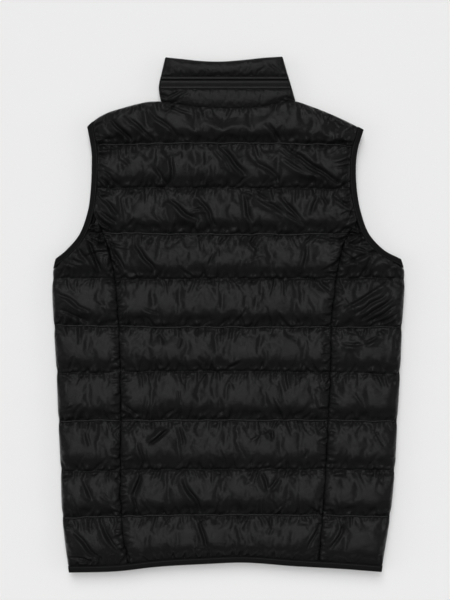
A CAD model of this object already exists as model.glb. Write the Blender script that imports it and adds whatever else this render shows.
# %% [markdown]
# # A quilted down vest, laid flat with its back up
# The vest is two padded layers lying on each other. Each layer is thin woven nylon over down, sewn
# through along lines, so that the down stands up in soft channels between them. This script
# dresses the plain solids of the frame: every channel is blown up as simulated cloth, the creases
# that the photograph shows are pressed in by hand, and the sewing, the bindings and the zip are
# modelled on top. All sizes here are in millimetres, and one factor turns them into metres.

# %% The frame
import math
import random

import bmesh
import bpy
import numpy as np
from mathutils import Matrix, Vector, noise
from mathutils.bvhtree import BVHTree


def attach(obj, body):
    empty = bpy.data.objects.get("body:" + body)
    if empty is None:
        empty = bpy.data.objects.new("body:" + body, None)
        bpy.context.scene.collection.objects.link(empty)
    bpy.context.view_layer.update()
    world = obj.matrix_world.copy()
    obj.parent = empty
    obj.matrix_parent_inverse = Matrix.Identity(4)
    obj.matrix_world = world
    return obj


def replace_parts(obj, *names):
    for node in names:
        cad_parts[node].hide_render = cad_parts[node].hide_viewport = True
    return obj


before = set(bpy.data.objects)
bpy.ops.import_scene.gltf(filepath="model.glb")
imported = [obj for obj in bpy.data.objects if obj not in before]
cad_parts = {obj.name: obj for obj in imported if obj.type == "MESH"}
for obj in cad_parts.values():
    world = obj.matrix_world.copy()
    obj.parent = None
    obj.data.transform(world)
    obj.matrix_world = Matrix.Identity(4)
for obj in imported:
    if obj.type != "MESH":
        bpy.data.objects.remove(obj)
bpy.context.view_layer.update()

MM = 0.001
scene = bpy.context.scene

# %% [markdown]
# ## Camera, floor and light
# The photograph is taken from straight above. A long lens keeps the outline square. The light is a
# large soft source beyond the collar: cloth that leans towards the collar shines, and cloth that
# leans towards the hem stays dark. Suns with a wide disc are used instead of area lamps because
# they light the whole floor evenly while their disc still shows as a soft-edged gloss.

# %% Camera above the vest
LENS = 80
SENSOR = 36
PIXEL = 1.49
PICTURE_HIGH = 600 * PIXEL
PICTURE_MIDDLE = (-5.1, 20.9)
REFERENCE_Z = 18

camera_data = bpy.data.cameras.new("camera")
camera_data.lens = LENS
camera_data.sensor_width = SENSOR
camera = bpy.data.objects.new("camera", camera_data)
scene.collection.objects.link(camera)
camera_height = PICTURE_HIGH / 2 / (SENSOR / 2 / LENS) + REFERENCE_Z
camera.location = (PICTURE_MIDDLE[0] * MM, PICTURE_MIDDLE[1] * MM, camera_height * MM)
scene.camera = camera
scene.view_settings.view_transform = "Standard"
print("camera stands", round(camera_height), "mm above the floor")


# %% Floor
def show(name, mesh):
    """Shows a mesh as an object at the origin."""
    piece = bpy.data.objects.new(name, mesh)
    scene.collection.objects.link(piece)
    return piece


def new_mesh_object(name, bm, smooth=True):
    mesh = bpy.data.meshes.new(name)
    bm.to_mesh(mesh)
    bm.free()
    if smooth:
        mesh.shade_smooth()
    return show(name, mesh)


floor_bm = bmesh.new()
bmesh.ops.create_grid(floor_bm, x_segments=1, y_segments=1, size=4)
floor = new_mesh_object("floor", floor_bm, smooth=False)


# %% Soft light, mostly from beyond the collar
def sun(name, azimuth, elevation, share, disc):
    """A wide sun. Azimuth 0 is beyond the collar, and share is its part of the floor's light."""
    data = bpy.data.lights.new(name, "SUN")
    data.angle = math.radians(disc)
    data.energy = share * math.pi / math.sin(math.radians(elevation))
    lamp = bpy.data.objects.new(name, data)
    scene.collection.objects.link(lamp)
    turn, lift = math.radians(azimuth), math.radians(elevation)
    level = math.cos(lift)
    towards = Vector((math.sin(turn) * level, math.cos(turn) * level, math.sin(lift)))
    lamp.rotation_euler = (-towards).to_track_quat("-Z", "Y").to_euler()


SUNS = [
    ("key_high", 174, 86, 0.25, 36),
    ("key_middle", -7, 71, 0.23, 34),
    ("key_low", -8, 47, 0.27, 34),
    ("fill_left", -95, 30, 0.045, 36),
    ("fill_right", 90, 30, 0.04, 36),
]
for entry in SUNS:
    sun(*entry)
AMBIENT = 0.19
world = bpy.data.worlds.new("studio")
scene.world = world
world.use_nodes = True
background = world.node_tree.nodes["Background"]
background.inputs["Color"].default_value = (1, 1, 1, 1)
background.inputs["Strength"].default_value = AMBIENT
print("light on the floor:", round(sum(entry[3] for entry in SUNS) + AMBIENT, 2))

# %% [markdown]
# ## Writing materials as expressions
# A node tree is easier to read as arithmetic. A small class wraps one output socket and turns
# Python's operators into Math nodes, and one method makes every other kind of node.


# %% A socket that takes part in arithmetic
class Wire:
    def __init__(self, finish, socket):
        self.finish = finish
        self.socket = socket

    def maths(self, operation, *values):
        return self.finish.node("ShaderNodeMath", {"operation": operation}, dict(enumerate(values)))

    def __add__(self, other):
        return self.maths("ADD", self, other)

    def __radd__(self, other):
        return self.maths("ADD", other, self)

    def __mul__(self, other):
        return self.maths("MULTIPLY", self, other)

    def __rmul__(self, other):
        return self.maths("MULTIPLY", other, self)

    def sine(self):
        return self.maths("SINE", self)


class Finish:
    """One material, its shader and the nodes that lead to it."""

    def __init__(self, name, colour, roughness, **constants):
        self.material = bpy.data.materials.new(name)
        self.material.use_nodes = True
        self.tree = self.material.node_tree
        self.shader = self.tree.nodes["Principled BSDF"]
        self.shader.inputs["Base Color"].default_value = (*colour, 1)
        self.shader.inputs["Roughness"].default_value = roughness
        self.material.diffuse_color = (*colour, 1)
        for socket, value in constants.items():
            self.shader.inputs[socket.replace("_", " ")].default_value = value

    def node(self, kind, settings, sockets, out=0):
        made = self.tree.nodes.new(kind)
        for name, value in settings.items():
            setattr(made, name, value)
        for place, value in sockets.items():
            if isinstance(value, Wire):
                self.tree.links.new(value.socket, made.inputs[place])
            else:
                made.inputs[place].default_value = value
        return Wire(self, made.outputs[out])

    def place(self):
        return self.node("ShaderNodeTexCoord", {}, {}, "Object")

    def uv(self):
        return self.node("ShaderNodeTexCoord", {}, {}, "UV")

    def axis(self, place, letter):
        return self.node("ShaderNodeSeparateXYZ", {}, {0: place}, letter)

    def noise(self, place, per_metre, detail=2.0, rough=0.5):
        sockets = {"Vector": place, "Scale": per_metre, "Detail": detail, "Roughness": rough}
        return self.node("ShaderNodeTexNoise", {}, sockets, "Fac")

    def from_cell_edge(self, place, per_metre):
        return self.node("ShaderNodeTexVoronoi", {"feature": "DISTANCE_TO_EDGE"},
                         {"Vector": place, "Scale": per_metre}, "Distance")

    def tint(self, share, dark, light):
        mixed = self.node("ShaderNodeMix", {"data_type": "RGBA"}, {"Factor": share}, 2)
        mixed.socket.node.inputs[6].default_value = (*dark, 1)
        mixed.socket.node.inputs[7].default_value = (*light, 1)
        return mixed

    def feed(self, socket, wire):
        self.tree.links.new(wire.socket, self.shader.inputs[socket])

    def relief(self, height, depth_mm, strength=1.0):
        sockets = {"Strength": strength, "Distance": depth_mm * MM, "Height": height}
        self.feed("Normal", self.node("ShaderNodeBump", {}, sockets, "Normal"))


def grey(value):
    return (value, value, value * 1.03)


# %% [markdown]
# ## The finishes
# The shell is tightly woven nylon, pressed smooth so that no down comes through. It has a soft
# gloss, and small hard crumples that catch the light. The bindings are matte stretch tape, and the
# zip has woven tapes, satin moulded teeth and a black-coated slider.

# %% Pressed nylon
THREAD_PITCH = 0.42
NYLON_GLOSS = 0.054
CELLS_PER_METRE = 70
CELL_BEND = 0.02
CELL_RIM = 0.07


def wave(place_along, pitch_mm):
    return (place_along * (2 * math.pi / (pitch_mm * MM))).sine()


def make_nylon(name, colour, roughness):
    """Uneven black over a relief of flat cells with sunk rims, fine noise and the woven threads."""
    finish = Finish(name, grey(colour), roughness, Specular_IOR_Level=NYLON_GLOSS)
    place = finish.place()
    cloud = finish.noise(place, 26, 3)
    finish.feed("Base Color", finish.tint(cloud, grey(colour * 0.8), grey(colour * 1.25)))
    finish.feed("Roughness", roughness - 0.05 + 0.1 * finish.noise(place, 60, 3))
    shift = finish.node("ShaderNodeTexNoise", {}, {"Vector": place, "Scale": 45, "Detail": 2}, "Color")
    bent = finish.node("ShaderNodeVectorMath", {"operation": "MULTIPLY_ADD"},
                       {0: shift, 1: (CELL_BEND,) * 3, 2: place}, 0)
    cells = bent.maths("MINIMUM", finish.from_cell_edge(bent, CELLS_PER_METRE), CELL_RIM)
    fine = finish.noise(bent, 220, 2, 0.6)
    weave = wave(finish.axis(place, "X"), THREAD_PITCH) * wave(finish.axis(place, "Y"), THREAD_PITCH)
    finish.relief(3.5 * cells + 0.07 * fine + 0.04 * weave, 1.0, 0.42)
    return finish.material


finishes = {}
for name, colour, roughness in (("shell_nylon", 0.0088, 0.145), ("collar_nylon", 0.008, 0.19)):
    finishes[name] = make_nylon(name, colour, roughness)
print("weave of", THREAD_PITCH, "mm")


# %% Stretch binding, woven tape, thread, teeth and coated metal
def make_ribbed(name, colour, roughness, rib_mm, depth_mm):
    """Matte ribs across a strip, from the strip's own length and width in its UV map."""
    finish = Finish(name, grey(colour), roughness, Specular_IOR_Level=0.06)
    place = finish.uv()
    ribs = wave(finish.axis(place, "Y"), rib_mm)
    stitches = wave(finish.axis(place, "X"), 1.6 * rib_mm)
    fuzz = finish.noise(finish.place(), 700, 2)
    finish.feed("Base Color", finish.tint(fuzz, grey(colour * 0.7), grey(colour * 1.5)))
    finish.relief(ribs + 0.4 * stitches + 0.8 * fuzz, depth_mm)
    return finish.material


def make_plain(name, colour, roughness, metallic, speck):
    """A smooth finish with faint specks."""
    finish = Finish(name, grey(colour), roughness, Metallic=metallic)
    cloud = finish.noise(finish.place(), speck, 3)
    finish.feed("Roughness", roughness - 0.07 + 0.14 * cloud)
    finish.feed("Base Color", finish.tint(cloud, grey(colour * 0.8), grey(colour * 1.3)))
    finish.relief(cloud, 0.04)
    return finish.material


for make, name, *values in (
        (make_ribbed, "binding_knit", 0.0062, 0.75, 0.9, 0.12),
        (make_ribbed, "zip_tape", 0.008, 0.8, 0.7, 0.1),
        (make_plain, "thread", 0.009, 0.55, 0.0, 900),
        (make_plain, "zip_plastic", 0.012, 0.38, 0.0, 500),
        (make_plain, "zip_metal", 0.025, 0.34, 0.9, 400)):
    finishes[name] = make(name, *values)

paper = Finish("floor_paper", (0.82, 0.82, 0.82), 0.9, Specular_IOR_Level=0.1)
floor.data.materials.append(paper.material)


def dress(piece, slot, body="vest", finish=None):
    """Gives a piece its finish, the body it rides on and the slot it belongs to."""
    piece.data.materials.append(finishes[finish or slot])
    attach(piece, body)
    return piece

# %% [markdown]
# ## The outline
# The same few sizes as in the solids: the armholes, side folds, shoulders, hem, the curved seams
# and the quilting lines. Each is a short table, read as a smooth curve.

# %% Sizes
SEAM_GAP = 0.3
MID_Z = 17
WALL = 3
BINDING_WIDTH = 8.5
HEM_WIDTH = 9
ZIP_HALF = 7
FRONT_ARMHOLE_SCOOP = 6
FRONT_NECK_DROP = 60
FRONT_COLLAR_TOP_DROP = 56
FRONT_COLLAR_EASE = 1.3
PANEL_OFFSET = BINDING_WIDTH + 0.4

# From the shoulder tip to the underarm: x and y
ARMHOLE = {
    "left": [(-209.9, 278.6), (-203.8, 244.4), (-203.2, 218), (-204.7, 184.8), (-208.9, 153.5),
             (-221.1, 119.2), (-240.8, 95.4), (-256.9, 82.2)],
    "right": [(201, 274.2), (192.1, 244.4), (189.4, 214.6), (191.6, 178.8), (197.6, 149),
              (209, 119.2), (231, 95.4), (254.9, 82.5)],
}
# y, left x and right x
SIDE_EDGE = [(95, -252.0, 250.0), (82.3, -256.9, 256.4), (70, -260.3, 260.6), (60, -261.7, 262.5),
             (45, -262.4, 262.5), (-16, -260.2, 258.9), (-86, -256.2, 256.0),
             (-159, -253.4, 251.7), (-232, -250.0, 248.0), (-301, -247.6, 241.2), (-345, -243.0, 234.2),
             (-385, -237.2, 227.6)]
PRINCESS = [(152, -201.5, 201.0), (134, -192.6, 188.6), (110, -183.2, 173.4), (69, -172.0, 163.2),
            (0, -164.4, 154.2), (-98, -160.8, 151.2), (-200, -160.2, 146.0), (-298, -159.3, 140.2),
            (-337, -155.4, 137.1), (-372, -149.0, 134.6)]
COLLAR_ENDS = [(384, -93.7, 80.5), (359, -99.6, 87.6), (338, -103.8, 94.0), (316, -100.8, 100.2)]
# x and y
SHOULDER_LINE = [(-215, 272.0), (-209.9, 278.6), (-198.8, 289.1), (-180.9, 299.4), (-160, 306.2),
                 (-137.8, 312.4), (-117, 316.4), (-100.6, 316.4), (-50, 309.0), (0, 306.8),
                 (50, 309.4), (100, 316.6), (127.1, 307.9), (167, 291.4), (187.1, 281.6),
                 (201, 274.2), (207, 270.4)]
HEM_LINE = [(-250, -385.0), (-153, -381.6), (-121, -377.6), (-32, -371.8), (18, -369.8), (99, -375.2),
            (163, -378.8), (250, -385.6)]
COLLAR_TOP = [(-93.7, 383.2), (-67, 380.4), (-40, 377.6), (-14, 376.8), (30, 380.0), (52, 382.4),
              (80.5, 384.2)]
# Height at the left, in the middle and at the right
QUILTING = [(248, 254.5, 246), (186.3, 187.7, 184.8), (121.8, 118.4, 120.6), (52.2, 52.4, 53.6),
            (-17.1, -19.8, -19.2), (-89.2, -85.2, -90.6), (-159.4, -157.9, -159.4),
            (-234.4, -231.2, -232.6), (-304, -298.8, -302.4)]
# Where the shoulder, the neck seam and the collar meet
NECK_POINT = {"left": (-101, 315.4), "right": (100.4, 316.2)}
WELT_TOP, WELT_MIDDLE, WELT_BOTTOM = 354.2, 348.6, 335.2
PINCH, PINCH_REACH = 1.4, 6
HALF_CHEST = 260
INWARD = {"left": 1, "right": -1}
COLUMN = {"left": 1, "right": 2}


# %% Smooth curves through the tables
def lerp(a, b, share):
    return a + (b - a) * share


def curve(rows, column=1):
    """A smooth curve through one column of a table, as a function that takes arrays."""
    rows = sorted(rows)
    place = np.array([row[0] for row in rows], float)
    value = np.array([row[column] for row in rows], float)
    slope = np.gradient(value, place)
    dense = np.arange(place[0], place[-1] + 0.5, 0.5)
    i = np.clip(np.searchsorted(place, dense, "right") - 1, 0, len(place) - 2)
    wide = place[i + 1] - place[i]
    t = (dense - place[i]) / wide
    smooth = (value[i] * (2 * t ** 3 - 3 * t ** 2 + 1) + value[i + 1] * (3 * t ** 2 - 2 * t ** 3)
              + slope[i] * wide * t * (1 - t) ** 2 - slope[i + 1] * wide * t ** 2 * (1 - t))
    return lambda at: np.interp(at, dense, smooth)


def ripple(seed, size, depth):
    """A small waver for a sewn line, as a function of the place along it."""
    places = np.arange(-420, 421, 2.0)
    drift = np.array([noise.noise((float(place) / size, seed, 0.3)) for place in places])
    return lambda at: np.interp(at, places, 2 * depth * drift)


shoulder_y = curve(SHOULDER_LINE)
hem_y = curve(HEM_LINE)
collar_top_y = curve(COLLAR_TOP)
side_x = {side: curve(SIDE_EDGE, COLUMN[side]) for side in INWARD}
princess_run = {side: curve(PRINCESS, COLUMN[side]) for side in INWARD}
princess_waver = {"left": ripple(3.5, 13, 0.7), "right": ripple(8.5, 13, 0.7)}
princess_x = {side: (lambda y, side=side: princess_run[side](y) + princess_waver[side](y))
              for side in INWARD}
collar_end_x = {side: curve(COLLAR_ENDS, COLUMN[side]) for side in INWARD}


def quilt_line(index):
    left, middle, right = QUILTING[index]
    slope, bow = (right - left) / 2, (left + right) / 2 - middle
    waver = ripple(index + 20.5, 15, 0.8)
    return lambda x: middle + slope * (x / HALF_CHEST) + bow * (x / HALF_CHEST) ** 2 + waver(x)


def hem_seam(x):
    return hem_y(x) + HEM_WIDTH + SEAM_GAP


def armhole_line(side, offset, scoop=0, run_on=24, count=96):
    """The armhole's edge moved into the cloth by offset, and run on straight past both ends."""
    points = np.array(ARMHOLE[side], float)
    t = np.linspace(0, len(points) - 1, count + 1)
    i = np.clip(t.astype(int), 0, len(points) - 2)
    f = (t - i)[:, None]
    ends = np.vstack([2 * points[0] - points[1], points, 2 * points[-1] - points[-2]])
    a, b, c, d = (ends[i + k] for k in range(4))
    line = 0.5 * (2 * b + (c - a) * f + (2 * a - 5 * b + 4 * c - d) * f ** 2
                  + (3 * b - a - 3 * c + d) * f ** 3)
    along = np.gradient(line, axis=0)
    along /= np.linalg.norm(along, axis=1)[:, None]
    into = np.column_stack([-along[:, 1], along[:, 0]]) * INWARD[side]
    depth = offset + scoop * np.sin(np.pi * np.linspace(0, 1, count + 1))
    line = line + into * depth[:, None]
    return np.vstack([line[0] - along[0] * run_on, line, line[-1] + along[-1] * run_on])


def pinch(y):
    """How far the stitches pull the side fold in at each quilting line."""
    return sum(PINCH * np.exp(-((y - row[1]) / PINCH_REACH) ** 2) for row in QUILTING[3:])


FURTHER_IN = {"left": np.maximum, "right": np.minimum}


def outer_edge(side, scoop=0):
    """x of a layer's outer edge at height y: the side fold, or the armhole where it is further in."""
    hole = armhole_line(side, PANEL_OFFSET, scoop)[::-1]
    return lambda y: FURTHER_IN[side](np.interp(y, hole[:, 1], hole[:, 0]),
                                      side_x[side](y) + INWARD[side] * pinch(y))


back_outer = {side: outer_edge(side) for side in INWARD}
front_outer = {side: outer_edge(side, FRONT_ARMHOLE_SCOOP) for side in INWARD}


def back_edge(side):
    """x of the centre back's edge: the curved seam, or the armhole above it."""
    def at(y):
        outer = back_outer[side](y)
        seam = FURTHER_IN[side](princess_x[side](y) + INWARD[side] * SEAM_GAP / 2, outer)
        return np.where(y > PRINCESS[0][0], outer, seam)
    return at


print("chest", round(float(side_x["right"](60) - side_x["left"](60))), "mm flat")

# %% [markdown]
# ## Quilted cloth
# A channel of down is a flat cloth that is sewn down along its edges and pushed up by its filling.
# So each panel starts as a grid whose rows follow the quilting lines. The rows on a line and the
# edges are pinned, the cloth between them is given a little more length than the lining under it,
# and pressure fills it. The surplus has nowhere to go and gathers into the puckers that make a
# quilted garment look real, which no formula gives as well as the cloth solver does.

# %% Places between the quilting lines
CELL = 3.5
FRONT_CELL = 5.4
COLLAR_CELL = 2.4
CHANNEL = 69
REPEATS = 10


def line_points(upper, lower, left, right, u, share):
    """Points between two height lines and two side edges, found by a few repeats."""
    x = np.zeros_like(u)
    for _ in range(REPEATS):
        y = lerp(upper(x), lower(x), share)
        x = lerp(left(y), right(y), u)
    return x, y


def fan_points(corners, lower, left, right, u, share):
    """The same under a slanted top edge that is given by its two corners."""
    (x0, y0), (x1, y1) = corners
    top_x = lerp(x0, x1, u)
    foot_x, foot_y = line_points(lower, lower, left, right, u, 0 * u)
    ends_x, ends_y = line_points(lower, lower, left, right, np.array([0.0, 1.0]), np.zeros(2))
    left_y, right_y = lerp(y0, ends_y[0], share), lerp(y1, ends_y[1], share)
    bow_left = left(left_y) - lerp(x0, ends_x[0], share)
    bow_right = right(right_y) - lerp(x1, ends_x[1], share)
    return (lerp(top_x, foot_x, share) + lerp(bow_left, bow_right, u),
            lerp(shoulder_y(top_x), foot_y, share))


def shoulder_corner(edge):
    """Where the shoulder line meets the armhole."""
    y = np.array(280.0)
    for _ in range(3 * REPEATS):
        y = lerp(y, shoulder_y(edge(y)), 0.5)
    return float(edge(y)), float(y)


def between(lines, left, right, corners=None):
    """A rule that places a grid between height lines and side edges, channel by channel."""
    def place(u, channel, share):
        x, y = np.zeros_like(u), np.zeros_like(u)
        for k in range(len(lines) - 1):
            mine = channel == k
            if k == 0 and corners:
                x[mine], y[mine] = fan_points(corners, lines[1], left, right, u[mine], share[mine])
            else:
                x[mine], y[mine] = line_points(lines[k], lines[k + 1], left, right, u[mine], share[mine])
        return x, y
    return place


# %% One quilted cloth
BULGE = 0.7
EDGE_RISE = 20
AT_EDGE = 1e-4


class Sheet:
    """A grid laid by a rule, with its seams pinned and its channels ready to be filled."""

    def __init__(self, node, place, channels, facing, across, down, width, puff, plain=(), twins=()):
        self.node, self.facing, self.channels = node, facing, channels
        rows = channels * down
        bm = bmesh.new()
        bmesh.ops.create_grid(bm, x_segments=across, y_segments=rows, size=0.5)
        flat = np.array([vert.co for vert in bm.verts])
        u = np.clip(flat[:, 0] + 0.5, 0, 1)
        row = np.round((0.5 - flat[:, 1]) * rows)
        channel = np.minimum(row // down, channels - 1).astype(int)
        share = row / down - channel
        self.cross, self.row, self.share = u, row / down, share
        self.x, self.y = place(u, channel, share)
        self.puff, self.width, self.bm = puff, width, bm
        is_plain = np.isin(channel, plain)
        rise = np.sqrt(1 - (1 - np.clip(self.from_side() / min(EDGE_RISE, width / 4), 0, 1)) ** 2)
        in_tuck = np.isin(np.round(self.row), twins) & (np.abs(row - down * np.round(self.row)) < 1.5)
        self.swell = np.where(is_plain | in_tuck, 0, np.sin(np.pi * share) ** BULGE * rise)
        self.pinned = (row % down == 0) | self.at_side() | is_plain | in_tuck

    def at_side(self):
        return (self.cross < AT_EDGE) | (self.cross > 1 - AT_EDGE)

    def from_side(self):
        """Distance from the nearer side edge."""
        return np.minimum(self.cross, 1 - self.cross) * self.width

    def in_channel(self):
        """Share of the way down the channel."""
        return self.row - np.floor(self.row)

    def stand_off(self, reach):
        """0 on a quilting line or a side edge and 1 from a reach away on, to keep the lines clean."""
        share = self.in_channel()
        from_line = np.minimum(share, 1 - share) * CHANNEL
        return np.clip(np.minimum(from_line, self.from_side()) / reach, 0, 1)

    def lay(self, seam_height):
        """Sets the start shape: seams at their own height over the middle, cloth bulging between."""
        z = MID_Z + self.facing * (seam_height(self) + self.puff * self.swell)
        cross = self.bm.verts.layers.float.new("cross")
        row = self.bm.verts.layers.float.new("row")
        for vert, x, y, up, u, r in zip(self.bm.verts, self.x, self.y, z, self.cross, self.row):
            vert.co = (x * MM, y * MM, up * MM)
            vert[cross], vert[row] = u, r
        if self.facing < 0:
            bmesh.ops.reverse_faces(self.bm, faces=self.bm.faces[:])
        self.piece = new_mesh_object(f"{self.node}_cloth", self.bm)
        group = self.piece.vertex_groups.new(name="sewn")
        group.add([int(i) for i in np.flatnonzero(self.pinned)], 1.0, "REPLACE")
        self.start = np.column_stack([self.x, self.y, z]) * MM


# %% Where the seams lie
SIDE_RISE = 6.5
FOLD_X, FOLD_HEIGHT = 225, 0.9
SHOULDER_HEIGHT = 1.2


def edge_height(sheet):
    """Seams lie low on the padding; folds and shoulders close down to the middle plane."""
    drift = np.array([noise.noise((x * 0.03, y * 0.03, 0.5)) for x, y in zip(sheet.x, sheet.y)])
    height = WALL + 0.3 * drift
    at_side = sheet.at_side()
    height[at_side] += SIDE_RISE * np.sin(np.pi * sheet.share[at_side]) ** BULGE
    height[at_side & (np.abs(sheet.x) > FOLD_X) & (sheet.y < 75)] = FOLD_HEIGHT
    height[(sheet.row < AT_EDGE) & (np.abs(sheet.x) > 106) & (sheet.y > 200)] = SHOULDER_HEIGHT
    return height


def collar_height(sheet):
    height = np.full_like(sheet.x, float(WALL))
    height[sheet.at_side()] = SHOULDER_HEIGHT
    height[sheet.row < AT_EDGE] = 1.0
    return height


# %% The back, the sides and the fronts
corner = {side: shoulder_corner(back_edge(side)) for side in INWARD}
quilt_lines = [quilt_line(k) for k in range(9)]
all_lines = [*quilt_lines, hem_seam]
sheets = {}
edges = {}


def add_sheet(node, lines, left, right, facing, cell, width, puff, corners=None):
    place = between(lines, left, right, corners)
    sheets[node] = Sheet(node, place, len(lines) - 1, facing, round(width / cell), round(CHANNEL / cell),
                         width, puff, twins=(1, 3, 5, 7, 9) if facing > 0 else ())
    edges[node] = (lines, left, right)


def side_seam(side):
    return lambda y: princess_x[side](y) - INWARD[side] * SEAM_GAP / 2


def front_neck_x(side):
    """x of the front neckline at height y, a quarter ellipse from the shoulder to the zip."""
    start, top = NECK_POINT[side]
    reach = abs(start) - ZIP_HALF

    def at(y):
        t = np.clip((top - y) / FRONT_NECK_DROP, 0, 1)
        return start + INWARD[side] * reach * (1 - np.sqrt(1 - t * t))
    return at


# The last two numbers of each sheet are its usual width and how far its channels start out
add_sheet("back_panel", [None, *all_lines], back_edge("left"), back_edge("right"), 1, CELL, 352, 11,
          (corner["left"], corner["right"]))
for side in INWARD:
    pair = (back_outer[side], side_seam(side))
    top = 134.0 if side == "left" else 128.0
    add_sheet(f"side_panel_{side}", [lambda x, top=top: top + 0 * x, *all_lines[2:]],
              *(pair if side == "left" else pair[::-1]), 1, CELL, 96, 10)
    neck_x = NECK_POINT[side][0]
    ends = (shoulder_corner(front_outer[side]), (neck_x, float(shoulder_y(neck_x))))
    pair = (front_outer[side], front_neck_x(side))
    if side == "right":
        ends, pair = ends[::-1], pair[::-1]
    add_sheet(f"front_{side}", [None, *all_lines], *pair, -1, FRONT_CELL, 240, 8, ends)
for sheet in sheets.values():
    sheet.lay(edge_height)

# %% The collar's three stretches
WELT_LINES = [lambda x: WELT_TOP + 0 * x, lambda x: WELT_BOTTOM + 0 * x]
collar_lines = [lambda x: collar_top_y(x) - 0.6, *WELT_LINES, lambda x: shoulder_y(x) + SEAM_GAP]
COLLAR_WIDTH = 196
edges["collar_back"] = (collar_lines, collar_end_x["left"], collar_end_x["right"])
sheets["collar_back"] = Sheet("collar_back", between(*edges["collar_back"]), 3, 1,
                              round(COLLAR_WIDTH / COLLAR_CELL), 11, COLLAR_WIDTH, 3.5, plain=(1,))


def collar_front_place(side):
    """The front stretch bends round the neck, from the collar's end to the zip."""
    neck_x, neck_y = NECK_POINT[side]
    end_x = COLLAR_ENDS[0][COLUMN[side]]
    way = -INWARD[side]

    def place(u, channel, share):
        s = u if side == "left" else 1 - u
        up = 1 - (channel + share) / 2
        turn = s * math.pi / 2
        reach = abs(neck_x) - ZIP_HALF - FRONT_COLLAR_EASE
        foot_x = way * (ZIP_HALF + reach * np.cos(turn))
        foot_y = neck_y - (FRONT_NECK_DROP - FRONT_COLLAR_EASE) * np.sin(turn)
        top_x = lerp(end_x, way * ZIP_HALF, s)
        top_y = collar_top_y(top_x) - 1.5 - FRONT_COLLAR_TOP_DROP * np.sin(turn) ** 1.4
        return lerp(foot_x, top_x, up), lerp(foot_y, top_y, up)
    return place


for side in INWARD:
    node = f"collar_front_{side}"
    sheets[node] = Sheet(node, collar_front_place(side), 2, -1, 34, 11, 110, 4)
for node, sheet in sheets.items():
    if "collar" in node:
        sheet.lay(collar_height)
print({node: len(sheet.x) for node, sheet in sheets.items()})

# %% Blow up every channel together
FRAMES = 24
PRESSURE = 4.0
SURPLUS = 0.024
COLLAR_SHARE = 0.4
CAP = 13
COLLAR_CAP = 5
CALM_EDGE = 9


def add_cloth(sheet):
    """Thin stiff cloth, a little longer than its grid, blown up between its pinned seams."""
    cloth = sheet.piece.modifiers.new("cloth", "CLOTH")
    settings = cloth.settings
    settings.vertex_group_mass = "sewn"
    settings.quality = 6
    settings.mass = 0.15
    settings.tension_stiffness = settings.compression_stiffness = 10
    settings.shear_stiffness = 3
    settings.bending_stiffness = 0.02
    settings.use_pressure = True
    settings.uniform_pressure_force = PRESSURE
    settings.shrink_min = -SURPLUS * (COLLAR_SHARE if "collar" in sheet.node else 1)
    settings.effector_weights.gravity = 0
    cloth.collision_settings.use_collision = False
    cloth.point_cache.frame_end = FRAMES


def take_shape(sheet, cap):
    """Keeps the simulated points: none beyond the cap, and hardly moved sideways near an edge."""
    graph = bpy.context.evaluated_depsgraph_get()
    done = sheet.piece.evaluated_get(graph).to_mesh()
    found = np.empty(len(done.vertices) * 3)
    done.vertices.foreach_get("co", found)
    sheet.piece.evaluated_get(graph).to_mesh_clear()
    move = found.reshape(-1, 3) - sheet.start
    from_edge = np.minimum(sheet.from_side(), sheet.row * CHANNEL)
    move[:, :2] *= np.clip(from_edge / CALM_EDGE, 0, 1)[:, None] ** 2
    far = np.linalg.norm(move, axis=1)
    found = sheet.start + move * np.minimum(1, cap * MM / np.maximum(far, 1e-9))[:, None]
    sheet.piece.modifiers.clear()
    sheet.piece.data.vertices.foreach_set("co", found.ravel())
    return round(far.max() / MM, 1)


for sheet in sheets.values():
    add_cloth(sheet)
scene.frame_start, scene.frame_end = 1, FRAMES
for step in range(1, FRAMES + 1):
    scene.frame_set(step)
print({node: take_shape(sheet, COLLAR_CAP if "collar" in node else CAP)
       for node, sheet in sheets.items()})

# %% [markdown]
# ## Creases and puckers
# The solver's cloth is smooth below the size of its grid. The grid is therefore divided once more,
# and the sharp things are pressed in by hand: the long creases of the photograph, each with a broad
# lip on one side and a small one on the other, short puckers that leave every line of stitches,
# and the nearly flat facets into which stiff thin nylon breaks between them.


# %% Finer cloth
def refine(sheet):
    divide = sheet.piece.modifiers.new("finer", "SUBSURF")
    divide.levels = divide.render_levels = 1
    graph = bpy.context.evaluated_depsgraph_get()
    finer = bpy.data.meshes.new_from_object(sheet.piece.evaluated_get(graph))
    sheet.piece.modifiers.clear()
    sheet.piece.data = finer
    count = len(finer.vertices)
    points = np.empty(count * 3)
    finer.vertices.foreach_get("co", points)
    sheet.points = points.reshape(-1, 3) / MM
    for name in ("cross", "row"):
        values = np.empty(count)
        finer.attributes[name].data.foreach_get("value", values)
        setattr(sheet, name, values)
    return count


print({node: refine(sheet) for node, sheet in sheets.items()})

# %% Pressing a line into the cloth
SEED = 7
rng = random.Random(SEED)
# Blender shifts its noise vectors by the clock until they are given a seed
noise.seed_set(SEED)
BEND_SIZE, BEND, BEND_SEED = 26, 4.2, 4.2
SMALL_LIP = 0.1
LIP_AT = 2.2


def bent_places(points):
    """Places shifted by a slow noise, so a mark that is straight in them is bent on the cloth."""
    drift = np.array([noise.noise_vector((x / BEND_SIZE, y / BEND_SIZE, BEND_SEED))
                      for x, y, _ in points.tolist()])
    return points[:, :2] + BEND * drift[:, :2]


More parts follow.
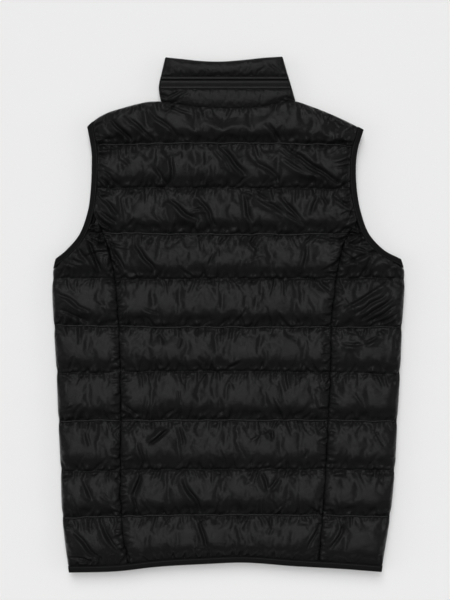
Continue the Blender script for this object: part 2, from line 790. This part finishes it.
def press(sheet, places, guard, mark):
    """Presses one mark: a narrow trough with a broad lip on one side and a small one on the other."""
    x0, y0, x1, y1, width, depth, lip, tapers = mark
    reach = 6.5 * width
    low = (min(x0, x1) - reach, min(y0, y1) - reach)
    high = (max(x0, x1) + reach, max(y0, y1) + reach)
    near = np.flatnonzero(((places > low) & (places < high)).all(axis=1))
    if len(near) == 0:
        return
    x, y = places[near, 0], places[near, 1]
    run = math.hypot(x1 - x0, y1 - y0)
    t = np.clip(((x - x0) * (x1 - x0) + (y - y0) * (y1 - y0)) / (run * run), 0, 1)
    aside = np.sign((x - x0) * (y1 - y0) - (y - y0) * (x1 - x0))
    away = np.hypot(x - lerp(x0, x1, t), y - lerp(y0, y1, t)) / width
    strength = np.clip(4 * t * (1 - t), 0, 1) ** 0.9 if tapers else (1 - t) ** 0.8
    trough = -depth * np.exp(-np.abs(away) ** 1.5)
    share = np.where(aside > 0, lip, SMALL_LIP * lip)
    lips = share * depth * np.exp(-((away - LIP_AT) / np.where(away < LIP_AT, 1.1, 2.4)) ** 2)
    sheet.points[near, 2] += sheet.facing * guard[near] * strength * (trough + lips)


# Creases of the back: start, end, half width of the sharp line, depth and lip. The photograph's
# creases read best when all are a little narrower and deeper, with more lip, than first measured.
NARROWER, DEEPER, MORE_LIP = 0.85, 1.35, 1.3
CREASES = [
    (-175, 291, -141, 255, 2.6, 6.5, 0.6), (-157, 296, -107, 259, 2.2, 3.8, 0.6),
    (-121, 305, -75, 263, 2.4, 3.6, 0.6), (-95, 311, -56, 297, 2.0, 3.0, 0.5),
    (55, 283, 83, 249, 2.4, 4.0, 0.6), (-15, 253, 26, 206, 3.0, 6.0, 0.6),
    (-22, 250, 12, 208, 2.0, 3.0, 0.5), (-111, 220, -87, 191, 2.2, 3.4, 0.5),
    (-84, 235, -84, 191, 2.4, 3.6, 0.6), (77, 253, 171, 189, 3.0, 6.0, 0.7),
    (70, 247, 150, 193, 2.2, 3.4, 0.6), (78, 231, 123, 207, 2.4, 3.4, 0.5),
    (-93, 171, -45, 137, 3.0, 6.0, 0.6), (-45, 175, -17, 131, 2.4, 4.6, 0.6),
    (17, 183, 35, 179, 2.0, 3.0, 0.5), (35, 179, 83, 148, 2.6, 4.2, 0.6),
    (83, 148, 116, 130, 2.2, 3.4, 0.6), (-177, 109, -151, 63, 2.8, 5.0, 0.6),
    (-141, 106, -105, 61, 2.6, 4.6, 0.6), (-213, 112, -200, 86, 2.4, 4.2, 0.6),
    (-200, 86, -189, 63, 2.0, 3.4, 0.6), (-255, 10, -206, -13, 2.2, 3.4, 0.6),
    (-258, 34, -222, 13, 2.0, 3.0, 0.6), (-246, 22, -203, 2, 2.0, 2.8, 0.6),
    (195, -9, 248, 25, 2.4, 4.0, 0.6), (186, -2, 236, 32, 2.0, 3.2, 0.6),
    (205, -15, 252, 12, 2.0, 3.0, 0.6), (218, -17, 254, 2, 1.8, 2.6, 0.6),
    (167, -47, 199, -45, 2.2, 3.4, 0.6), (199, -45, 223, -31, 2.0, 3.2, 0.6),
    (-159, -131, -133, -155, 2.2, 3.4, 0.6), (-89, -170, -117, -194, 2.6, 5.0, 0.6),
    (-71, -166, -63, -195, 2.2, 3.4, 0.6), (-135, -189, -123, -228, 2.2, 3.4, 0.5),
    (63, -170, 67, -189, 2.0, 3.0, 0.5), (-68, -241, -38, -295, 2.8, 5.0, 0.6),
    (-129, -238, -141, -270, 2.2, 3.6, 0.6), (-141, -270, -138, -293, 2.0, 3.0, 0.6),
    (-213, -247, -199, -277, 2.2, 3.4, 0.6), (49, -235, 58, -259, 2.2, 3.6, 0.6),
    (58, -259, 75, -241, 2.0, 3.0, 0.6), (-231, -323, -187, -369, 2.6, 4.0, 0.6),
    (-241, -355, -197, -371, 2.0, 3.0, 0.6), (-189, -311, -161, -353, 2.4, 3.8, 0.6),
    (-44, -307, -29, -351, 2.4, 3.8, 0.6), (177, -307, 151, -349, 2.4, 4.0, 0.6),
    (137, -310, 116, -349, 2.2, 3.4, 0.6),
    (-190, 206, -175, 188, 2.2, 3.6, 0.6), (-186, 216, -164, 191, 2.4, 4.0, 0.6),
    (-190, 174, -162, 147, 2.6, 4.4, 0.6), (-194, 152, -164, 136, 2.2, 3.8, 0.6),
    (-197, 144, -172, 125, 2.0, 3.2, 0.6), (-208, 100, -186, 64, 2.4, 4.4, 0.6),
    (39, 229, 78, 196, 3.4, 3.4, 0.5), (20, 182, 36, 133, 2.2, 3.8, 0.6),
    (39, 185, 64, 166, 2.4, 4.2, 0.6), (75, 177, 113, 133, 2.6, 4.4, 0.6),
    (133, 180, 119, 144, 2.2, 2.8, 0.5), (138, 177, 149, 166, 2.0, 3.2, 0.6),
    (157, 177, 182, 158, 2.2, 3.8, 0.6), (28, 113, 46, 92, 2.2, 3.6, 0.6),
    (119, 105, 111, 64, 2.2, 2.8, 0.5), (124, 116, 163, 109, 2.2, 3.2, 0.6),
    (172, 105, 215, 89, 2.2, 3.4, 0.6), (170, 73, 212, 91, 2.4, 3.8, 0.6),
    (201, 61, 212, 83, 2.0, 3.2, 0.6), (171, 3, 234, 45, 3.0, 4.0, 0.6),
    (133, 53, 149, 36, 2.0, 3.0, 0.6),
]
# Creases of the collar
COLLAR_CREASES = [
    (-97, 320, -66, 334, 1.9, 2.4, 0.7), (-88, 313, -64, 322, 1.8, 2.0, 0.6),
    (-103, 326, -92, 323, 2.2, 3.2, 0.6), (-80, 319, -57, 330, 1.5, 1.5, 0.6),
    (84, 324, 98, 316, 1.8, 2.2, 0.6), (75, 319, 95, 313, 1.7, 1.6, 0.6),
    (60, 371, 78, 360, 1.6, 1.2, 0.6), (42, 360, 56, 370, 1.5, 1.0, 0.6),
    (-30, 356, 20, 357.5, 1.6, 0.8, 0.5),
]


# %% Puckers that leave the stitches
PUCKER_LIP = 0.9
LOWEST_PUCKER = -365
ARMHOLE_FOOT = 75


def seam_puckers(lines, left, right, gap, depth, longest):
    """Short marks that leave each line of stitches, on both sides of it."""
    marks = []
    for k, line in enumerate(lines):
        line = line or shoulder_y
        for way in (1, -1):
            if (k == 0 and way > 0) or (k == len(lines) - 1 and way < 0):
                continue
            middle_y = float(line(0.0))
            x = float(left(middle_y)) + gap * rng.random()
            end = float(right(middle_y))
            while x < end:
                reach = rng.triangular(0.2 * longest, longest, 0.3 * longest) * (1.25 if way > 0 else 1)
                lean = rng.gauss(-0.15, 0.45)
                y = float(line(x))
                tip = (x - way * reach * math.sin(lean), y + way * reach * math.cos(lean))
                marks.append((x, y, *tip, rng.uniform(1.1, 2.0), depth * rng.uniform(0.4, 1.7),
                              PUCKER_LIP, False))
                x += gap * rng.uniform(0.45, 1.7)
    return marks


def edge_puckers(edge, inward, top, gap, depth):
    """The same along a side edge, leaning more at the armhole."""
    marks = []
    y = top
    while y > LOWEST_PUCKER:
        at_armhole = y > ARMHOLE_FOOT
        reach = rng.triangular(6, 22, 9) * (2.1 if at_armhole else 1)
        lean = rng.gauss(-0.5 if y > 60 else 0, 0.45)
        x = float(edge(y))
        tip = (x + inward * reach * math.cos(lean), y + reach * math.sin(lean))
        press_in = depth * rng.uniform(0.4, 1.5)
        press_in *= 1.9 if at_armhole else 0.5 if abs(x) > FOLD_X else 1.3
        marks.append((x, y, *tip, rng.uniform(1.2, 2.1), press_in, PUCKER_LIP, False))
        y -= gap * rng.uniform(0.45, 1.6)
    return marks


def loose_creases(sheet, lines, count):
    """Further soft creases where the photograph shows none that stands out."""
    marks = []
    low_x, high_x = sheet.points[:, 0].min(), sheet.points[:, 0].max()
    for _ in range(count):
        channel = rng.randrange(sheet.channels)
        x = rng.uniform(low_x, high_x)
        upper = (lines[channel] or shoulder_y)(x)
        y = float(lerp(upper, lines[channel + 1](x), rng.uniform(0.05, 0.8)))
        lean = rng.gauss(-0.9, 0.5) if rng.random() < 0.65 else rng.gauss(-2.1, 0.4)
        run = rng.triangular(8, 38, 14)
        tip = (x + run * math.cos(lean), y + run * math.sin(lean))
        marks.append((x, y, *tip, rng.uniform(1.1, 1.8), rng.uniform(1.0, 2.8), PUCKER_LIP, True))
    return marks


# %% Crumpled nylon
MEAN_RANK_STEP = 0.35


def crumple(sheet, size, height, seed):
    """Nearly flat facets with sharp bends between them, longer along one diagonal."""
    places = bent_places(sheet.points)
    along = (places[:, 0] - places[:, 1]) / math.sqrt(2)
    across = (places[:, 0] + places[:, 1]) / math.sqrt(2)
    free = sheet.facing * sheet.stand_off(8)
    for stretch, grain, lift in ((1.5, size, height), (1.3, 0.45 * size, 0.3 * height)):
        spots = np.column_stack([along / (grain * stretch), across / grain]).tolist()
        ranks = np.array([noise.voronoi((a, b, seed))[0][:2] for a, b in spots])
        sheet.points[:, 2] += free * lift * (ranks[:, 1] - ranks[:, 0] - MEAN_RANK_STEP)
        seed += 5.3


# %% Press everything in
SAG = 2.2
SEAM_DROP, SEAM_HALF = 1.5, 1.8
LEAST, LEAST_RISE = 0.4, 1.9
ABOVE_FLOOR = 0.2
for node, sheet in sheets.items():
    marks = []
    is_collar = "collar" in node
    if node in edges:
        lines, left, right = edges[node]
        if is_collar:
            marks += seam_puckers(lines, left, right, 6, 0.5, 10)
        else:
            marks += seam_puckers(lines, left, right, 8.5, 2.4, 32)
            top = 286 if lines[0] is None else float(lines[0](0.0))
            for edge, inward in ((left, 1), (right, -1)):
                marks += edge_puckers(edge, inward, top, 6, 2.3)
            marks += loose_creases(sheet, lines, (6 if node == "back_panel" else 2) * sheet.channels)
    if node == "collar_back":
        marks += [(*entry, True) for entry in COLLAR_CREASES]
    elif sheet.facing > 0:
        marks += [(*ends, NARROWER * width, DEEPER * depth, MORE_LIP * lip, True)
                  for *ends, width, depth, lip in CREASES]
    places, guard = bent_places(sheet.points), sheet.stand_off(2.5)
    for mark in marks:
        press(sheet, places, guard, mark)
    if sheet.facing > 0 and not is_collar:
        sag = np.sin(2 * np.pi * sheet.in_channel())
        sheet.points[:, 2] -= SAG * sag * sheet.stand_off(18)
        at_seam = (sheet.points[:, 1] < 150) & (np.abs(sheet.points[:, 0]) < 202)
        sheet.points[:, 2] -= SEAM_DROP * at_seam * np.exp(-(sheet.from_side() / SEAM_HALF) ** 2)
    crumple(sheet, *((18, 0.4) if is_collar else (36, 2.1)), 2 + len(node))
    least = LEAST + LEAST_RISE * sheet.stand_off(7)
    raised = np.maximum((sheet.points[:, 2] - MID_Z) * sheet.facing, least)
    sheet.points[:, 2] = MID_Z + sheet.facing * raised
    if sheet.facing < 0:
        sheet.points[:, 2] = np.maximum(sheet.points[:, 2], ABOVE_FLOOR)
    print(node, len(marks), "marks")

# %% [markdown]
# ## Closing the padding
# On the real vest the channel is closed underneath by the lining. Each cloth gets a rim and a
# plain inside, so that it is one closed padded form that lies on the other layer.


# %% Rim and inside
def close_padding(sheet):
    mesh = sheet.piece.data
    mesh.vertices.foreach_set("co", (sheet.points * MM).ravel())
    bm = bmesh.new()
    bm.from_mesh(mesh)
    rim = [edge for edge in bm.edges if edge.is_boundary]
    made = bmesh.ops.extrude_edge_only(bm, edges=rim)["geom"]
    inside = (MID_Z + sheet.facing * SEAM_GAP / 2) * MM
    for vert in (item for item in made if isinstance(item, bmesh.types.BMVert)):
        vert.co.z = inside
    loop = [item for item in made if isinstance(item, bmesh.types.BMEdge) and item.is_boundary]
    bmesh.ops.contextual_create(bm, geom=loop)
    bmesh.ops.recalc_face_normals(bm, faces=bm.faces[:])
    for face in bm.faces:
        face.smooth = not all(abs(vert.co.z - inside) < 1e-7 for vert in face.verts)
    on_line = set(np.flatnonzero(np.abs(sheet.row - np.round(sheet.row)) < 1e-4).tolist())
    for edge in bm.edges:
        edge.smooth = edge.is_boundary or not all(vert.index in on_line for vert in edge.verts)
    bm.to_mesh(mesh)
    bm.free()
    dress(sheet.piece, "collar_nylon" if "collar" in sheet.node else "shell_nylon")
    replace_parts(sheet.piece, sheet.node)


for sheet in sheets.values():
    close_padding(sheet)
print({node: len(sheet.piece.data.polygons) for node, sheet in sheets.items()})

# %% [markdown]
# ## Strips
# The bindings, the welts of the collar and the raised tucks on every other quilting line are all
# strips. A strip is a grid again: its columns follow the section, its rows follow the path.


# %% A strip along a path
def run_along(x, y):
    """The length run at each point of a polyline."""
    return np.concatenate([[0], np.cumsum(np.hypot(np.diff(x), np.diff(y)))])


def strip(name, section, path, count, slot, thick):
    """Section is a list of (offset, z) in mm, and path gives x and y for an offset and a share."""
    section = np.array(section, float)
    bm = bmesh.new()
    bmesh.ops.create_grid(bm, x_segments=len(section) - 1, y_segments=count, size=0.5)
    flat = np.array([vert.co for vert in bm.verts])
    i = np.round((flat[:, 0] + 0.5) * (len(section) - 1)).astype(int)
    share = np.round((0.5 - flat[:, 1]) * count) / count
    offset, z = section[i].T
    x, y = path(offset, share)
    run = run_along(*section.T)
    uv = bm.loops.layers.uv.new("strip")
    for vert, px, py, pz in zip(bm.verts, x, y, z):
        vert.co = (px * MM, py * MM, pz * MM)
    length = float(run_along(*path(np.zeros(60), np.linspace(0, 1, 60)))[-1])
    for face in bm.faces:
        for loop in face.loops:
            k = loop.vert.index
            loop[uv].uv = (run[i[k]] * MM, share[k] * length * MM)
    piece = new_mesh_object(name, bm)
    wall = piece.modifiers.new("wall", "SOLIDIFY")
    wall.thickness = thick * MM
    wall.offset = 0
    return dress(piece, slot), run[-1], length


# %% The tucks on every other quilting line
TUCK_LINES = (0, 2, 4, 6, 8)
TUCK_SECTION = [(-1.9, 19.4), (-1.6, 21.2), (-0.9, 22.1), (0.0, 22.4), (0.9, 22.1), (1.6, 21.2),
                (1.9, 19.4)]
SHELL_NODES = ("back_panel", "side_panel_left", "side_panel_right")
NYLON_WALL, KNIT_WALL = 0.4, 0.8


def seam_path(line, x0, x1):
    def path(offset, share):
        x = lerp(x0, x1, share)
        return x, line(x) + offset
    return path


def line_ends(line, left, right):
    y0, y1 = float(line(-150.0)), float(line(150.0))
    return float(left(y0)) + 1.0, float(right(y1)) - 1.0


for index in TUCK_LINES:
    line = quilt_lines[index]
    for node in SHELL_NODES:
        _, left, right = edges[node]
        if node != "back_panel" and index == 0:
            continue
        x0, x1 = line_ends(line, left, right)
        piece, wide, long = strip(f"tuck_{index}_{node}", TUCK_SECTION, seam_path(line, x0, x1),
                                  max(12, round((x1 - x0) / 3)), "shell_nylon", NYLON_WALL)


# %% The armhole bindings
def trimmed(line, side):
    """The part of an armhole line that lies between the shoulder line and the side fold."""
    over = line[:, 1] - shoulder_y(line[:, 0])
    beyond = (side_x[side](line[:, 1]) - line[:, 0]) * INWARD[side]
    half = len(line) // 2
    first = int(np.flatnonzero(over[:half] > 0)[-1])
    last = int(np.flatnonzero(beyond[half:] > 0)[0]) + half
    start = lerp(line[first], line[first + 1], over[first] / (over[first] - over[first + 1]))
    stop = lerp(line[last - 1], line[last], beyond[last - 1] / (beyond[last - 1] - beyond[last]))
    return np.vstack([start, line[first + 1:last], stop])


def armhole_path(side, scoop):
    rails = {}

    def path(offset, share):
        x, y = np.zeros_like(share), np.zeros_like(share)
        for value in np.unique(offset):
            if value not in rails:
                line = trimmed(armhole_line(side, float(value), scoop, run_on=22), side)
                run = run_along(*line.T)
                rails[value] = (run / run[-1], line)
            mine = offset == value
            places, line = rails[value]
            x[mine] = np.interp(share[mine], places, line[:, 0])
            y[mine] = np.interp(share[mine], places, line[:, 1])
        return x, y
    return path


BACK_FOLD = [(9.2, 19.9), (8.2, 21.2), (6.6, 21.8), (4.2, 22.0), (2.2, 21.7), (0.8, 21.0), (0.0, 19.6),
             (0.8, 18.2), (2.6, 17.6), (5.2, 17.4), (8.0, 17.4)]
FRONT_FOLD = [(offset, 2 * MID_Z - z) for offset, z in BACK_FOLD]
for side in INWARD:
    for layer, section, scoop in (("back", BACK_FOLD, 0), ("front", FRONT_FOLD, FRONT_ARMHOLE_SCOOP)):
        piece, wide, long = strip(f"armhole_binding_{side}_{layer}", section, armhole_path(side, scoop),
                                  110, "binding_knit", KNIT_WALL)
        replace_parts(piece, f"armhole_binding_{side}")


# %% The hem binding
def hem_path(x_from, x_to):
    def path(offset, share):
        x = np.zeros_like(share)
        for _ in range(6):
            y = hem_y(x) + offset
            left = side_x["left"](y) if x_from is None else x_from
            right = side_x["right"](y) if x_to is None else x_to
            x = lerp(left, right, share)
        return x, hem_y(x) + offset
    return path


HEM_RUNS = [("back", BACK_FOLD, None, None), ("front_left", FRONT_FOLD, None, -ZIP_HALF),
            ("front_right", FRONT_FOLD, ZIP_HALF, None)]
for layer, section, x_from, x_to in HEM_RUNS:
    wider = [(offset * HEM_WIDTH / BINDING_WIDTH, z) for offset, z in section]
    piece, wide, long = strip(f"hem_binding_{layer}", wider, hem_path(x_from, x_to), 120,
                              "binding_knit", KNIT_WALL)
    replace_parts(piece, "hem_binding")


# %% The two welts on the collar
WELT_INSET = 0.4


def welt_path(middle):
    def path(offset, share):
        y = middle + offset
        ends = (collar_end_x[side](y) + INWARD[side] * WELT_INSET for side in INWARD)
        return lerp(*ends, share), y + 0 * share
    return path


# Share of the half height, and z
UPPER_WELT = [(1, 20.4), (0.7, 21.4), (0.3, 22.2), (-0.4, 22.3), (-0.8, 22.0), (-1, 21.2),
              (-0.8, 20.8), (0.5, 20.6)]
LOWER_WELT = [(1, 20.2), (0.85, 21.3), (0.7, 22.0), (0.5, 22.4), (0.3, 22.35), (0.1, 22.0),
              (-0.1, 21.6), (-0.3, 21.2), (-0.5, 20.8), (-0.6, 20.7), (-0.68, 20.8), (-0.82, 21.05),
              (-0.94, 21.2), (-1, 20.7), (-0.8, 20.0), (0.5, 19.8)]
for name, high, low, welt in (("upper", WELT_TOP - 0.2, WELT_MIDDLE + 0.1, UPPER_WELT),
                              ("lower", WELT_MIDDLE - 0.1, WELT_BOTTOM + 0.2, LOWER_WELT)):
    section = [(place * (high - low) / 2, z) for place, z in welt]
    piece, wide, long = strip(f"collar_welt_{name}_cloth", section, welt_path((high + low) / 2), 70,
                              "collar_nylon", NYLON_WALL)
    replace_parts(piece, f"collar_welt_{name}")

# %% [markdown]
# ## Stitches
# Each stitch is a tiny rounded bar. One is made once and copied along the seams as arrays, and a
# ray from above finds the cloth that it lies on.

# %% One stitch, many copies
STITCH, STITCH_HALF = 2.9, 0.9
STITCH_SIZE = (1.15, 0.3, 0.28)
STITCH_LIFT = 0.12


def as_arrays(bm):
    """The points and faces of a small shape, for copying."""
    bm.verts.index_update()
    shape = (np.array([vert.co for vert in bm.verts]),
             [[vert.index for vert in face.verts] for face in bm.faces])
    bm.free()
    return shape


stitch_bm = bmesh.new()
bmesh.ops.create_uvsphere(stitch_bm, u_segments=6, v_segments=4, radius=1)
bmesh.ops.rotate(stitch_bm, verts=stitch_bm.verts, matrix=Matrix.Rotation(math.pi / 2, 3, "Y"))
bmesh.ops.scale(stitch_bm, verts=stitch_bm.verts, vec=STITCH_SIZE)
stitch = as_arrays(stitch_bm)


def joined(name, shape, places, turns, slot, finish=None):
    """One mesh of many copies. Each turn is a 3x3 array that turns the copy before it is placed."""
    points, faces = shape
    copies = np.einsum("nij,pj->npi", np.array(turns), points) + np.array(places)[:, None, :]
    mesh = bpy.data.meshes.new(name)
    all_faces = [[k + n * len(points) for k in face] for n in range(len(places)) for face in faces]
    mesh.from_pydata((copies.reshape(-1, 3) * MM).tolist(), [], all_faces)
    mesh.shade_smooth()
    return dress(show(name, mesh), slot, finish=finish)


def stitch_row(x, y, z_at):
    """Places and turns of stitches along a polyline."""
    run = run_along(x, y)
    places, turns = [], []
    for middle in np.arange(STITCH / 2, run[-1], STITCH):
        (x0, y0), (x1, y1) = [(float(np.interp(end, run, x)), float(np.interp(end, run, y)))
                              for end in (middle - STITCH_HALF, middle + STITCH_HALF)]
        z0, z1 = z_at(x0, y0), z_at(x1, y1)
        if z0 is None or z1 is None:
            continue
        along = Vector((x1 - x0, y1 - y0, z1 - z0)).normalized()
        across = Vector((0, 0, 1)).cross(along).normalized()
        turns.append(np.column_stack([along, across, along.cross(across)]))
        places.append(((x0 + x1) / 2, (y0 + y1) / 2, (z0 + z1) / 2 + STITCH_LIFT))
    return places, turns


def sew(name, rows):
    """Joins rows of stitches, each given as x, y and the height under it, into one piece."""
    places, turns = [], []
    for row in rows:
        more = stitch_row(*row)
        places += more[0]
        turns += more[1]
    joined(name, stitch, places, turns, "binding_knit", "thread")
    print(name, len(places))


trees = {}
for node in SHELL_NODES:
    mesh = sheets[node].piece.data
    trees[node] = BVHTree.FromPolygons([tuple(vert.co) for vert in mesh.vertices],
                                       [tuple(face.vertices) for face in mesh.polygons])


def cloth_z(node):
    def z_at(x, y):
        hit = trees[node].ray_cast(Vector((x * MM, y * MM, 0.1)), Vector((0, 0, -1)))[0]
        return None if hit is None else hit.z / MM
    return z_at


BESIDE_TUCK = -2.2
for node in SHELL_NODES:
    _, left, right = edges[node]
    rows = []
    for index, line in enumerate(quilt_lines):
        if node != "back_panel" and index < 2:
            continue
        x0, x1 = line_ends(line, left, right)
        x = np.linspace(x0 + 1, x1 - 1, 200)
        rows.append((x, line(x) + (BESIDE_TUCK if index in TUCK_LINES else 0.0), cloth_z(node)))
    sew(f"stitches_{node}", rows)

# %% Stitches on the bindings
BINDING_TOP = 21.95
ARMHOLE_ROW, HEM_ROW = 6.9, 7.3
share = np.linspace(0.01, 0.99, 160)
rows = [armhole_path(side, 0)(np.full(160, ARMHOLE_ROW), share) for side in INWARD]
rows.append(hem_path(None, None)(np.full(300, HEM_ROW), np.linspace(0.005, 0.995, 300)))
sew("stitches_bindings", [(x, y, lambda x, y: BINDING_TOP) for x, y in rows])

# %% [markdown]
# ## The zip
# It closes the front, so it lies underneath. Moulded teeth stand alternately on the left and the
# right tape, a box at the foot holds both tapes, and a slider with a pull tab runs on the teeth.

# %% Teeth and tapes
CHAIN_THICK = 2.4
CHAIN_Z = MID_Z - 3.4
TAPE_THICK = 0.8
TOOTH_PITCH = 3.0
ZIP_BOX = (8, 12, 4.4)
TOOTH = (3.7, 1.25, CHAIN_THICK)
TOOTH_SHIFT = 0.95
zip_top = float(collar_top_y(0.0)) - 1.5 - FRONT_COLLAR_TOP_DROP
zip_foot = float(hem_y(0.0))
chain_top = zip_top - 8


def box(bm, size, centre):
    made = bmesh.ops.create_cube(bm, size=1)["verts"]
    bmesh.ops.scale(bm, verts=made, vec=size)
    bmesh.ops.translate(bm, verts=made, vec=centre)
    return {edge for vert in made for edge in vert.link_edges}


def round_off(bm, rims, bevel, segments):
    bmesh.ops.bevel(bm, geom=list(rims), offset=bevel, offset_type="OFFSET", segments=segments,
                    profile=0.5, affect="EDGES", material=-1)


def rounded_box(bm, size, centre, bevel, segments=2):
    """A box with rounded edges, added to a bmesh, all in mm."""
    round_off(bm, box(bm, size, centre), bevel, segments)


def finish_piece(name, bm, slot, body="vest"):
    bmesh.ops.scale(bm, verts=bm.verts, vec=(MM, MM, MM))
    return dress(new_mesh_object(name, bm), slot, body)


tooth_bm = bmesh.new()
rounded_box(tooth_bm, TOOTH, (0, 0, 0), 0.3, 1)
tooth_y = np.arange(zip_foot + ZIP_BOX[1] + 1.2, chain_top - 1, TOOTH_PITCH / 2)
tooth_places = [(TOOTH_SHIFT if n % 2 else -TOOTH_SHIFT, float(y), CHAIN_Z)
                for n, y in enumerate(tooth_y)]
teeth = joined("zip_teeth", as_arrays(tooth_bm), tooth_places, [np.eye(3)] * len(tooth_y), "zip_plastic")
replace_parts(teeth, "zip_chain")
print(len(tooth_y), "teeth")

TAPE_START = 2.95
for side, inward in INWARD.items():
    piece, wide, long = strip(
        f"zip_tape_{side}_woven", [(across, CHAIN_Z) for across in (0, 1.3, 2.6, 3.8)],
        lambda offset, share, way=-inward: (way * (TAPE_START + offset), lerp(zip_top, zip_foot, share)),
        120, "zip_tape", TAPE_THICK)
    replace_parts(piece, f"zip_tape_{side}")

# %% Box at the foot
box_bm = bmesh.new()
rounded_box(box_bm, (5.4, ZIP_BOX[1], ZIP_BOX[2]), (0, zip_foot + ZIP_BOX[1] / 2, CHAIN_Z), 0.7)
for up in (-1, 1):
    centre = (0, zip_foot + ZIP_BOX[1] / 2, CHAIN_Z + up * (ZIP_BOX[2] / 2 - 0.65))
    rounded_box(box_bm, (ZIP_BOX[0], ZIP_BOX[1], 1.3), centre, 0.5)
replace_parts(finish_piece("zip_box_moulded", box_bm, "zip_plastic"), "zip_box")

# %% Slider: two plates, their side lips, the post between them and the bridge for the tab
PLATE = (11, 13, 1.6)
PLATE_GAP = 3.0
BRIDGE_OPENING = 2.6
slider_y = chain_top - 1
slider_low = CHAIN_Z - PLATE_GAP / 2 - PLATE[2]
slider_bm = bmesh.new()
for up in (-1, 1):
    rounded_box(slider_bm, PLATE, (0, slider_y, CHAIN_Z + up * (PLATE_GAP + PLATE[2]) / 2), 0.6, 3)
    for way in (-1, 1):
        centre = (way * 4.2, slider_y, CHAIN_Z + up * 1.25)
        rounded_box(slider_bm, (2.3, PLATE[1] - 1.5, 0.8), centre, 0.25)
rounded_box(slider_bm, (2.4, 3, PLATE_GAP + 1), (0, slider_y + 5, CHAIN_Z), 0.4)
for end in (-1, 1):
    rounded_box(slider_bm, (2.4, 1.7, BRIDGE_OPENING + 1.4),
                (0, slider_y + end * 3.95, slider_low - BRIDGE_OPENING / 2 - 0.1), 0.4)
rounded_box(slider_bm, (2.4, 9.6, 1.0), (0, slider_y, slider_low - BRIDGE_OPENING - 0.5), 0.4)
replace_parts(finish_piece("zip_slider_cast", slider_bm, "zip_metal"), "zip_slider")

# %% Pull tab with its eye round the bridge
TAB_WIDTH, TAB_LENGTH, TAB_THICK = 8, 27, 1.4
EYE_WIDTH, EYE_END, EYE_BAR, TAB_TILT = 3.6, 5.9, 0.7, 15
tab_bm = bmesh.new()
rounded_box(tab_bm, (TAB_WIDTH - 0.6, 2 * EYE_BAR, TAB_THICK), (0, 0, 0), 0.45, 3)
for way in (-1, 1):
    wide = (TAB_WIDTH - EYE_WIDTH) / 2
    centre = (way * (EYE_WIDTH + wide) / 2, -EYE_END / 2, 0)
    rounded_box(tab_bm, (wide, EYE_END + 1, TAB_THICK), centre, 0.4, 3)
plate_long = TAB_LENGTH - EYE_END
plate = box(tab_bm, (TAB_WIDTH - 0.2, plate_long, TAB_THICK), (0, -EYE_END - plate_long / 2, 0))
round_off(tab_bm, [edge for edge in plate if edge.verts[0].co.y < -20
                   and abs(edge.verts[0].co.z - edge.verts[1].co.z) > 1], 3.4, 8)
faces = [face for face in tab_bm.faces if min(vert.co.y for vert in face.verts) < -EYE_END - 0.5
         and abs(face.normal.z) > 0.9 and len(face.verts) > 8]
round_off(tab_bm, {edge for face in faces for edge in face.edges}, 0.35, 2)
bmesh.ops.rotate(tab_bm, verts=tab_bm.verts, matrix=Matrix.Rotation(math.radians(TAB_TILT), 3, "X"))
bmesh.ops.translate(tab_bm, verts=tab_bm.verts, vec=(0, slider_y, slider_low - BRIDGE_OPENING / 2))
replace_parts(finish_piece("zip_pull_tab_cast", tab_bm, "zip_metal", "pull_tab"), "zip_pull_tab")
print("tab hangs at y", round(slider_y, 1), "mm")
